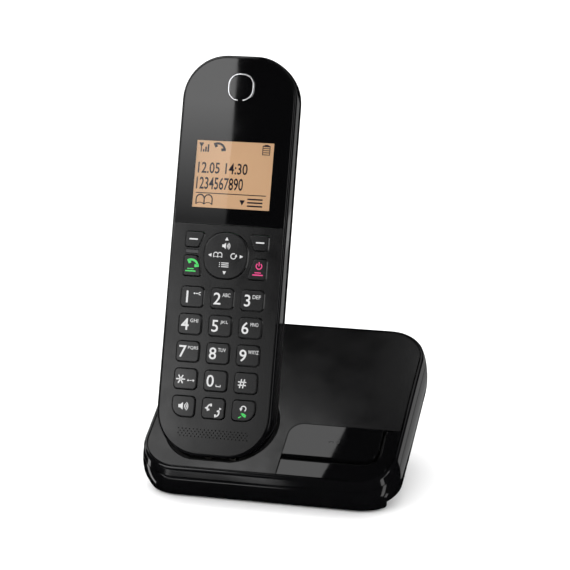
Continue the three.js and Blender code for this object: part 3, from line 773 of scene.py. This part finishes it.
def book_mark(x, y, width, height, stroke, z=KEY_RISE):
    """An open book: two arched pages on a spine."""
    parts = [bar(x + side * width / 2, y - height * 0.12, stroke, height * 0.62, z)
             for side in (-1, 0, 1)]
    for side in (-1, 1):
        middle = x + side * width / 4
        parts.append(arc(middle, y + height * 0.14, width / 4, 0, 180, stroke, z, 1.1))
        parts.append(arc(middle, y - height * 0.5, width / 4, 20, 160, stroke, z, 0.6))
    return parts


def speaker_mark(x, y, size):
    horn = [Vector((x + size * a, y + size * b)) for a, b in (
        (-0.5, -0.18), (-0.28, -0.18), (0.0, -0.42), (0.0, 0.42), (-0.28, 0.18), (-0.5, 0.18))]
    waves = [arc(x, y, size * r, -48, 48, size * 0.09) for r in (0.22, 0.4, 0.58)]
    return [mark(horn)] + waves


def printed(name, marks, body, material):
    return finish_piece(merged(name, marks), body, material)


DIAL = {
    "key_1": ("1", None), "key_2": ("2", "ABC"), "key_3": ("3", "DEF"),
    "key_4": ("4", "GHI"), "key_5": ("5", "JKL"), "key_6": ("6", "MNO"),
    "key_7": ("7", "PQRS"), "key_8": ("8", "TUV"), "key_9": ("9", "WXYZ"),
}
KEY_AT = {name: key_middle(row, column)
          for row, names in enumerate(KEY_ROWS) for column, name in enumerate(names)}
KEY_AT.update({
    "soft_key_left": (-13.6, -73.9), "soft_key_right": (13.6, -73.9),
    "talk_key": (-13.9, -82.6), "off_key": (13.6, -83.1), "navigator_key": (0.0, NAV["y"]),
})


def digit_marks(x, y, digit, letters):
    marks = [lettering(digit, x - 2.0, y - 2.4, 4.7, bold=0.006, anchor=0.5)]
    if letters:
        marks.append(lettering(letters, x + 0.05, y + 0.75, 1.45, width=0.95 * len(letters) + 0.4))
    else:
        marks += [dot(x + 0.9, y + 1.4, 0.34), bar(x + 1.9, y + 1.4, 0.9, 0.34),
                  arc(x + 3.2, y + 1.4, 0.5, 60, 300, 0.28)]
    return marks


def star_marks(x, y):
    marks = [bar(x - 1.9, y - 0.2, 3.7, 0.5, turn=turn) for turn in (0, 60, 120)]
    marks += [arrow_head(x + 1.2, y - 0.5, 1.1, 90), bar(x + 2.2, y - 0.5, 0.9, 0.28),
              arrow_head(x + 3.3, y - 0.5, 1.1, 270)]
    return marks


def zero_marks(x, y):
    return [lettering("0", x - 2.1, y - 2.4, 4.7, bold=0.006, anchor=0.5),
            bar(x + 1.3, y - 2.1, 2.1, 0.3), bar(x + 0.4, y - 1.75, 0.3, 0.7),
            bar(x + 2.2, y - 1.75, 0.3, 0.7)]


def hash_marks(x, y):
    marks = [bar(x - 1.4, y - 0.2 + 0.62 * side, 3.3, 0.42) for side in (-1, 1)]
    marks += [bar(x - 1.4 + 0.62 * side, y - 0.2, 0.42, 3.6, turn=-10) for side in (-1, 1)]
    return marks


def loudspeaker_marks(x, y):
    return speaker_mark(x - 0.1, y + 0.1, 3.6)


def intercom_marks(x, y):
    """Two receivers and an arrow to each side."""
    marks = handset_mark(x - 0.75, y + 1.3, 2.6, 60) + handset_mark(x + 0.9, y - 0.1, 2.6, 240)
    marks += [arrow_head(x - 2.9, y + 0.1, 1.2, 180), arrow_head(x + 2.9, y + 0.1, 1.2, 0)]
    return marks


def recall_marks(x, y):
    return [arc(x, y + 0.9, 1.0, -60, 180, 0.4), arrow_head(x - 1.0, y + 0.6, 1.5, 270)]


def leaf_marks(x, y):
    return [arc(x - 0.5, y - 3.1, 2.0, 35, 100, 0.5), arc(x + 1.1, y - 0.5, 1.7, 190, 270, 0.5),
            bar(x - 1.3, y - 2.5, 1.3, 0.36, turn=30)]


def dash_marks(x, y):
    return [bar(x, y, 3.4, 0.55)]


def talk_marks(x, y):
    marks = handset_mark(x + 0.2, y, 4.2, -28) + [bar(x, y - 4.0, 4.2, 0.5)]
    marks += [bar(x, y - 3.1, 2.6, 0.4)]
    return marks


def off_marks(x, y):
    return [arc(x + 0.3, y, 1.15, 125, 415, 0.42), bar(x + 0.3, y + 0.8, 0.42, 1.7),
            bar(x, y - 3.5, 4.2, 0.5), bar(x, y - 2.6, 2.6, 0.4)]


def navigator_marks(x, y):
    """An arrow at each edge, and inside them a speaker, a book, a loop and a list."""
    marks = [arrow_head(x, y + 6.6, 1.7, 90), arrow_head(x, y - 6.6, 1.7, 270),
             arrow_head(x - 6.3, y, 1.7, 180), arrow_head(x + 6.3, y, 1.7, 0)]
    marks += speaker_mark(x - 0.2, y + 3.9, 2.9)
    marks += book_mark(x - 3.2, y, 3.4, 1.9, 0.3)
    marks += [arc(x + 3.2, y, 1.05, 60, 360, 0.34), arrow_head(x + 4.3, y + 0.3, 1.2, 90)]
    marks += [bar(x, y - 3.6 + 0.75 * k, 3.0, 0.32) for k in (-1, 0, 1)]
    marks += [dot(x - 2.2, y - 3.6 + 0.75 * k, 0.2) for k in (-1, 0, 1)]
    return marks


SYMBOLS = {
    "key_star": star_marks, "key_0": zero_marks, "key_hash": hash_marks,
    "key_speaker": loudspeaker_marks, "key_intercom": intercom_marks, "key_recall": recall_marks,
    "soft_key_left": dash_marks, "soft_key_right": dash_marks,
    "talk_key": talk_marks, "off_key": off_marks, "navigator_key": navigator_marks,
}
INKS = {"talk_key": GREEN_INK_PAINTED_GLOW, "off_key": RED_INK_PAINTED_GLOW}


def legend_marks(name):
    if name in DIAL:
        return digit_marks(*KEY_AT[name], *DIAL[name])
    return SYMBOLS[name](*KEY_AT[name])


# ---------- display ----------

CELL_TOP = -1.6


def display_marks():
    """Status icons, a line of digits for the time, a number, and the two soft-key icons."""
    z = CELL_TOP
    top = LCD["middle"] + LCD["height"] / 2
    left = -LCD["width"] / 2
    marks = [bar(left + 1.7, top - 2.9, 0.42, 3.4, z), arrow_head(left + 1.7, top - 1.6, 2.4, 270, z)]
    marks += [bar(left + 2.7 + 0.95 * k, top - 4.4 + 0.4 + 0.5 * k, 0.62, 1.0 + 1.0 * k, z)
              for k in range(3)]
    marks += handset_mark(left + 8.6, top - 1.5, 4.4, -28, z)
    case = LCD["width"] / 2 - 3.4
    marks += [bar(case + side * 1.45, top - 3.0, 0.3, 3.4, z) for side in (-1, 1)]
    marks += [bar(case, top - 1.2 - 0.85 * k, 3.1, 0.3 if k else 0.5, z) for k in range(5)]
    marks.append(bar(case, top - 0.9, 1.6, 0.6, z))
    marks.append(lettering("12.05 14:30", left + 1.0, top - 13.0, 4.4, z, 20.4, 0.012))
    marks.append(lettering("1234567890", left + 0.8, top - 19.4, 4.9, z, 19.2, 0.012))
    marks.append(bar(left + 15.3, top - 20.9, 28.8, 0.34, z))
    marks += book_mark(left + 4.6, top - 23.9, 6.6, 3.6, 0.46, z)
    marks += [bar(-left - 6.4, top - 22.5 - 1.35 * k, 6.2, 0.6, z) for k in range(3)]
    marks.append(arrow_head(-left - 11.6, top - 23.8, 2.6, 270, z))
    return marks


def lay_display():
    outline = rounded(LCD["width"] + 1, LCD["height"] + 1, 0.5, 0, LCD["middle"], 4)
    cell = prism("display_cell", outline, eased(-3.0, CELL_TOP, 0.1), HAND)
    finish_piece(cell, "handset", DISPLAY, ("lcd_glass",))
    printed("display_segments", display_marks(), "handset", LCD_INK)


# ---------- base ----------


def bowl_inset(depth):
    """The wall swells out below the rim, and draws in again under its widest line."""
    bend = BEND_ABOVE if depth < WIDEST else BEND_BELOW
    return -SWELL + bend * (depth - WIDEST) ** 2


def bowl_ring(depth, inset, shrink=0.0):
    """The bowl's outline at a depth; its back leans so as to stand upright."""
    lean = max(0.0, depth - BAND) * SLOPE_TAN * 0.5 + max(0.0, -inset) / 2
    outline = rounded(TILE_W, TILE_L, TILE_R, 0, 0, 16)
    wide = 1 - (inset + shrink) / (TILE_W / 2)
    long = 1 - (inset + shrink + lean) / (TILE_L / 2)
    return [(p.x * wide, p.y * long + TILE_L / 2 - lean, -depth) for p in outline]


def bowl_form(shrink, top):
    depths = [30, 24, 20, 18, 16.5, 15, 13.5, 12, 10.5, 9, 7.5, 6, 5, top]
    rings = [bowl_ring(d, bowl_inset(d), shrink) for d in depths]
    return loft("bowl", rings, TILE)


def footprint(name, sizes, shrink, top):
    width = 2 * (sizes["half"] - shrink)
    length = sizes["back"] - sizes["front"] - 2 * shrink
    middle = (sizes["front"] + sizes["back"]) / 2
    outline = rounded(width, length, sizes["radius"] - shrink, 0, middle, 12)
    foot = 0.0 if shrink else 0.7
    return prism(name, outline, eased(FLOOR_Z + shrink, top, 0.0, foot), WORLD)


def block(name, low, high, matrix):
    outline = [Vector((high[0], low[1])), Vector((high[0], high[1])),
               Vector((low[0], high[1])), Vector((low[0], low[1]))]
    return prism(name, outline, [(low[2], 0.0), (high[2], 0.0)], matrix)


def base_form(shrink, top):
    """The bowl above its sloping underside, its low front edge, and the pedestal."""
    tilt = Matrix.Translation((0, UNDERSIDE["y"] * MM, UNDERSIDE["z"] * MM))
    tilt = tilt @ Matrix.Rotation(math.radians(UNDERSIDE["angle"]), 4, "X") @ WORLD
    above = block("above", (-100, -150, shrink), (100, 150, 100), tilt)
    room = block("room", (-200, -200, FLOOR_Z + shrink), (200, 200, 200), WORLD)
    boolean(above, room, "INTERSECT", WORLD)
    boolean(above, footprint("toe", TOE, shrink, 12.0), "UNION", WORLD)
    form = boolean(bowl_form(shrink, top), above, "INTERSECT", WORLD)
    pedestal = footprint("pedestal", PEDESTAL, shrink, 70.0)
    boolean(pedestal, block("under", (-90, -60, -90), (90, 150, -BAND - 3), TILE), "INTERSECT", WORLD)
    return boolean(form, pedestal, "UNION", WORLD)


def lower_wall():
    wall = base_form(0.0, BAND + GAP)
    boolean(wall, base_form(WALL, BAND - 1.0), matrix=WORLD)
    for x, width, height in JACKS:
        low = (x - width / 2 - GAP, 25, JACK_Z - height / 2 - GAP)
        high = (x + width / 2 + GAP, 37, JACK_Z + height / 2 + GAP)
        boolean(wall, block("jack", low, high, WORLD), matrix=WORLD)
    for x in SCREWS:
        well = prism("well", circle(2.9, x, SCREW_Y, 24), [(-5.0, 0.0), (6.0, 0.0)], WORLD)
        boolean(wall, well, matrix=WORLD)
    return wall


def circle(radius, x, y, count):
    turns = [2 * math.pi * k / count for k in range(count)]
    return [Vector((x + radius * math.cos(a), y + radius * math.sin(a))) for a in turns]


def tile_outline(inset):
    return rounded(TILE_W - 2 * inset, TILE_L - 2 * inset, TILE_R - inset, 0, TILE_L / 2, 16)


def rim_band():
    """Gloss band: rounded over at the top, with a well and a ledge for the matt tile."""
    levels = [(BAND, -BAND_FLARE)]
    levels += [(EDGE * (1 - math.sin(a)) + 0.04, EDGE * (1 - math.cos(a))) for a in quarter(7)]
    band = loft("rim_band", [bowl_ring(d, i) for d, i in levels], TILE)
    cut_tile(band, prism("well", tile_outline(RIM), flared(-PLATE - 0.2, 0.0, 0.15), TILE))
    return cut_tile(band, prism("bore", tile_outline(RIM + 1.4), [(-9.0, 0.0), (3.0, 0.0)], TILE))


def cradle_outline():
    """The handset's outline where it goes through the tile, with room round it."""
    to_hand = HAND.inverted() @ TILE
    right = []
    for k in range(2 * int(CRADLE_BACK)):
        along = 0.5 * k
        place = to_hand @ Vector((HAND_X, along, 0))
        depth = -place.z
        if not 0.0 <= depth <= HAND_DEPTH - 0.3:
            continue
        steep = max(0.0, depth - SIDE_FLAT) / (HAND_DEPTH - SIDE_FLAT)
        inset = BACK_INSET * (1 - math.sqrt(1 - steep ** 2))
        radius = HAND_R - inset
        fall = max(0.0, HAND_R - HAND_L - place.y)
        if fall < radius:
            half = HAND_W / 2 - HAND_R + math.sqrt(radius ** 2 - fall ** 2)
            right.append(Vector((half, along - CRADLE_FRONT * max(0.0, 1 - along / 20))))
    outline = [Vector((HAND_X + p.x, p.y)) for p in right]
    outline += [Vector((HAND_X - p.x, p.y)) for p in reversed(right)]
    return offset(outline, CRADLE_ROOM)


def tile_plate():
    plate = prism("tile_plate", tile_outline(RIM + RIM_GROOVE), eased(-PLATE, -0.02, 0.3), TILE)
    cut_tile(plate, prism("opening", cradle_outline(), flared(-5.0, -0.02, 0.5, 5), TILE))
    seat = fillet([(PANEL["left"] - 0.2, -9, 0), (70, -9, 0), (70, PANEL["back"] + 0.4, 0),
                   (PANEL["left"] - 0.2, PANEL["back"] + 0.4, LOCATOR["r_left"])], 10)
    cut_tile(plate, prism("seat", seat, flared(-1.6, -0.02, 0.12), TILE))
    return cut_tile(plate, prism("hole", offset(locator_outline(), 0.3), [(-6.0, 0.0), (3.0, 0.0)], TILE))


def locator_outline():
    return fillet([
        (LOCATOR["left"], LOCATOR["front"], 0.5), (LOCATOR["right"], LOCATOR["front"], LOCATOR["r_right"]),
        (LOCATOR["right"], LOCATOR["back"], 0.5), (LOCATOR["left"], LOCATOR["back"], LOCATOR["r_left"]),
    ], 12)


def gloss_panel():
    edge = RIM + RIM_GROOVE
    right = TILE_W / 2 - edge
    outline = fillet([
        (PANEL["left"], edge, 0.2), (right, edge, TILE_R - edge),
        (right, PANEL["back"], 0.3), (SIDE_STRIP, PANEL["back"], 0.3),
        (SIDE_STRIP, STRIP_TOP, 7.0), (PANEL["left"], STRIP_TOP, 0.2),
    ], 14)
    return prism("gloss_strip", outline, eased(-PANEL_THICK, 0.03, 0.25), TILE)


def locator_icon():
    """A small receiver with sound arcs, faint on the gloss button."""
    z = 0.5
    x, y = 24.5, 21.0
    marks = [arc(x + 0.9, y, r, -40, 40, 0.2, z) for r in (0.7, 1.2, 1.7)]
    marks += [bar(x - 0.6, y, 1.5, 0.35, z), bar(x - 1.3, y - 0.25, 0.5, 0.7, z),
              bar(x + 0.1, y - 0.25, 0.5, 0.7, z)]
    icon = merged("locator_icon", marks)
    icon.data.transform(TILE @ HAND.inverted())
    return icon


def lay_base():
    finish_piece(lower_wall(), "base", GLOSS, ("base_lower_case",)).name = "lower_wall"
    finish_piece(rim_band(), "base", GLOSS, ("base_upper_case",))
    finish_piece(tile_plate(), "base", TILE_FINISH, ("base_upper_case",))
    finish_piece(gloss_panel(), "base", PIANO, ("base_gloss_panel",))
    button = prism("locator_cap", locator_outline(), eased(-3.6, 0.5, 0.3, 0.0, 5), TILE)
    finish_piece(button, "locator_button", PIANO, ("locator_button",))
    finish_piece(locator_icon(), "locator_button", GREY_INK)
    for name, (x, y) in FEET.items():
        pad = prism(name + "_pad", circle(3.2, x, y, 32), eased(0.0, 0.8, 0.0, 0.25), WORLD)
        finish_piece(pad, "base", RUBBER, (name,))


# ---------- carried-over parts ----------

KEPT = (
    # the cradle's pocket and the base's contacts take darkened copies of their materials: painted shade
    (PAINTED_SHADE_ABS, "cradle_pocket"),
    (PARTS, "locator_switch dc_jack line_jack earpiece_speaker ringer_speaker microphone"),
    (MASK, "base_circuit_board handset_circuit_board"),
    (PAINTED_SHADE_NICKEL, "base_contact_left base_contact_right"),
    (STEEL, "base_screw_left base_screw_right"),
    (DISPLAY, "lcd_backlight"),
    (RUBBER, "keypad_mat navigator_pivot"),
    (WRAP, "battery_left battery_right"),
    (NICKEL, "battery_spring_left battery_spring_right battery_link"),
    (NICKEL, "handset_contact_left handset_contact_right"),
)


def dress_kept_parts():
    for material, names in KEPT:
        for name in names.split():
            for slot in NODES[name].material_slots:
                slot.material = material


# ---------- camera, light and floor ----------

TARGET = Vector((0.0, 17.55, 70.0)) * MM
AZIMUTH, ELEVATION, ROLL = 14.389, 17.0, -0.4
DISTANCE = 0.8401
FLOOR_HALF = 3000


def view_axes():
    a, e, r = (math.radians(v) for v in (AZIMUTH, ELEVATION, ROLL))
    right = Vector((math.cos(a), math.sin(a), 0))
    up = Vector((-math.sin(a) * math.sin(e), math.cos(a) * math.sin(e), math.cos(e)))
    ahead = Vector((-math.sin(a) * math.cos(e), math.cos(a) * math.cos(e), -math.sin(e)))
    rolled_right = math.cos(r) * right + math.sin(r) * up
    rolled_up = math.cos(r) * up - math.sin(r) * right
    return rolled_right, rolled_up, ahead


RIGHT, UP, AHEAD = view_axes()
EYE = TARGET - AHEAD * DISTANCE


def add_camera():
    data = bpy.data.cameras.new("camera")
    data.lens = 130.74
    data.sensor_width = 36.0
    data.shift_x = -0.01973
    data.shift_y = 0.01707
    data.clip_start = 0.01
    camera = bpy.data.objects.new("camera", data)
    camera.matrix_world = (Matrix.Translation(EYE)
                           @ Matrix((RIGHT, UP, -AHEAD)).transposed().to_4x4())
    bpy.context.scene.collection.objects.link(camera)
    bpy.context.scene.camera = camera


def mirrored(matrix, x, y, z, normal, distance):
    """What a mirror at a point of the object shows the camera, so far beyond it."""
    point = matrix @ Vector((x, y, z))
    ray = (point - EYE).normalized()
    return point + (ray - 2 * ray.dot(normal) * normal) * distance


def add_light(name, centre, across, along, width, length, radiance, fade=None):
    """A rectangular light seen only in reflections, its face turned to the object."""
    data = bpy.data.lights.new(name, "AREA")
    data.shape = "RECTANGLE"
    data.size = width
    data.size_y = length
    data.energy = radiance * math.pi * width * length
    light = bpy.data.objects.new(name, data)
    away = across.cross(along)
    if away.dot(centre - TARGET) < 0:
        across = -across
        away = -away
    light.matrix_world = Matrix.Translation(centre) @ Matrix((across, along, away)).transposed().to_4x4()
    bpy.context.scene.collection.objects.link(light)
    light.visible_camera = False
    if fade:
        fade_light(data, *fade)
    return light


def fade_light(data, dim, start, end):
    """Dims a light towards its low end: dim below start, full above end."""
    data.use_nodes = True
    nodes, links = data.node_tree.nodes, data.node_tree.links
    place = nodes.new("ShaderNodeNewGeometry")
    split = nodes.new("ShaderNodeSeparateXYZ")
    ramp = nodes.new("ShaderNodeMapRange")
    ramp.inputs["From Min"].default_value = start
    ramp.inputs["From Max"].default_value = end
    ramp.inputs["To Min"].default_value = dim
    ramp.inputs["To Max"].default_value = 1.0
    links.new(place.outputs["Parametric"], split.inputs["Vector"])
    links.new(split.outputs["Y"], ramp.inputs["Value"])
    links.new(ramp.outputs["Result"], nodes["Emission"].inputs["Strength"])


def hide_from_reflections():
    """The handset's dark image stays out of the gloss of the base."""
    for piece in bpy.context.scene.objects:
        if piece.get("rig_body") not in (None, "base", "locator_button"):
            piece.visible_glossy = False


def edged_card(name, low, high, toward, width, past_low, past_high, radiance, fade=None):
    """A light whose one long edge runs through two points, lying to one side of them."""
    along = (high - low).normalized()
    across = (toward - along * toward.dot(along)).normalized()
    start = low - along * past_low
    end = high + along * past_high
    centre = (start + end) / 2 + across * width / 2
    return add_light(name, centre, across, along, width, (end - start).length, radiance, fade)


def aimed_card(name, centre, width, length, radiance):
    away = (centre - TARGET).normalized()
    across = Vector((0, 0, 1)).cross(away).normalized()
    return add_light(name, centre, across, away.cross(across), width, length, radiance)


LEFTWARD = Vector((-1, 0, 0))
AIMED_CARDS = (            # name, place, width, length, radiance
    ("wall_card", (0.22, 0.5, -0.12), 0.24, 0.16, 0.4),
    ("side_card", (0.25, 0.5, 0.1), 0.3, 0.34, 0.35),
    ("right_strip", (0.9, -0.18, 0.0), 0.14, 1.6, 1.7),
    ("left_strip", (-0.9, 0.23, 0.0), 0.16, 1.6, 1.6),
    ("corner_card", (0.6, 0.03, -0.5), 0.1, 0.1, 1.2),
    ("rear_fill", (-1.1, 0.8, 0.5), 0.5, 0.7, 1.6),
)


def mirror_card(name, face, low, high, distance, width, past, radiance, toward=LEFTWARD, fade=None):
    """A card whose near edge shows in a face of the object from one point to another."""
    matrix, normal = face
    start = mirrored(matrix, *low, normal, distance)
    end = mirrored(matrix, *high, normal, distance)
    return edged_card(name, start, end, toward, width, *past, radiance, fade)


def add_lights():
    window = (HAND, HAND_OUT)
    tile = (TILE, TILE_OUT)
    flare = math.atan(BAND_FLARE / (BAND - EDGE))
    band = (TILE, math.sin(flare) * TILE_OUT - math.cos(flare) * TILE_UP)
    mirror_card("window_card", window, (-1.4, -67, 0), (-1.7, -2, 0), 0.4, 0.3, (0.02, 0.1), 3.3,
                fade=(0.15, 0.1, 0.42))
    mirror_card("keypad_card", window, (-9, -150, 0), (-9, -80, 0), 0.4, 0.2, (0.05, 0.0), 1.7)
    mirror_card("tile_card", tile, (24.5, 5, 0), (28, 29.4, 0.5), 0.4, 0.3, (0.1, 0.001), 1.75)
    mirror_card("back_tile_card", tile, (42, 40, 0), (42, 85, 0), 0.4, 0.3, (0.0, 0.15), 0.5,
                toward=-LEFTWARD)
    mirror_card("front_card", band, (7, 0, -4.6), (7, 0, -2), 0.6, 0.8, (0.01, 0.0), 2.2)
    lip = (TILE_OUT - TILE_UP).normalized()
    low = mirrored(TILE, 7.0, 0.3, -0.3, lip, 0.5)
    high = mirrored(TILE, 7.0, 0.3, -0.3, (lip + TILE_OUT * 0.16).normalized(), 0.5)
    edged_card("lip_card", low, high, LEFTWARD, 0.16, 0.0, 0.0, 0.8)
    for name, centre, width, length, radiance in AIMED_CARDS:
        aimed_card(name, Vector(centre), width, length, radiance)


def add_world():
    world = bpy.data.worlds.new("studio")
    world.use_nodes = True
    sky = world.node_tree.nodes["Background"]
    sky.inputs["Color"].default_value = (1, 1, 1, 1)
    sky.inputs["Strength"].default_value = 1.6
    world.cycles_visibility.glossy = False
    world.cycles_visibility.transmission = False
    bpy.context.scene.world = world
    bpy.context.scene.view_settings.view_transform = "Standard"


def add_floor():
    floor = block("floor", (-FLOOR_HALF, -FLOOR_HALF, -8.0), (FLOOR_HALF, FLOOR_HALF, 0.0), WORLD)
    material, nodes, links, shader = principled("pale_floor", (0.9, 0.9, 0.9), 0.9)
    links.new(spread(nodes, links, noise(nodes, links, 3.0), 0.86, 0.92), shader.inputs["Roughness"])
    floor.data.materials.append(material)
    floor.visible_glossy = False
    floor.visible_transmission = False


lay_handset()
lay_keys()
lay_display()
lay_base()
dress_kept_parts()
add_camera()
hide_from_reflections()
add_lights()
add_world()
add_floor()
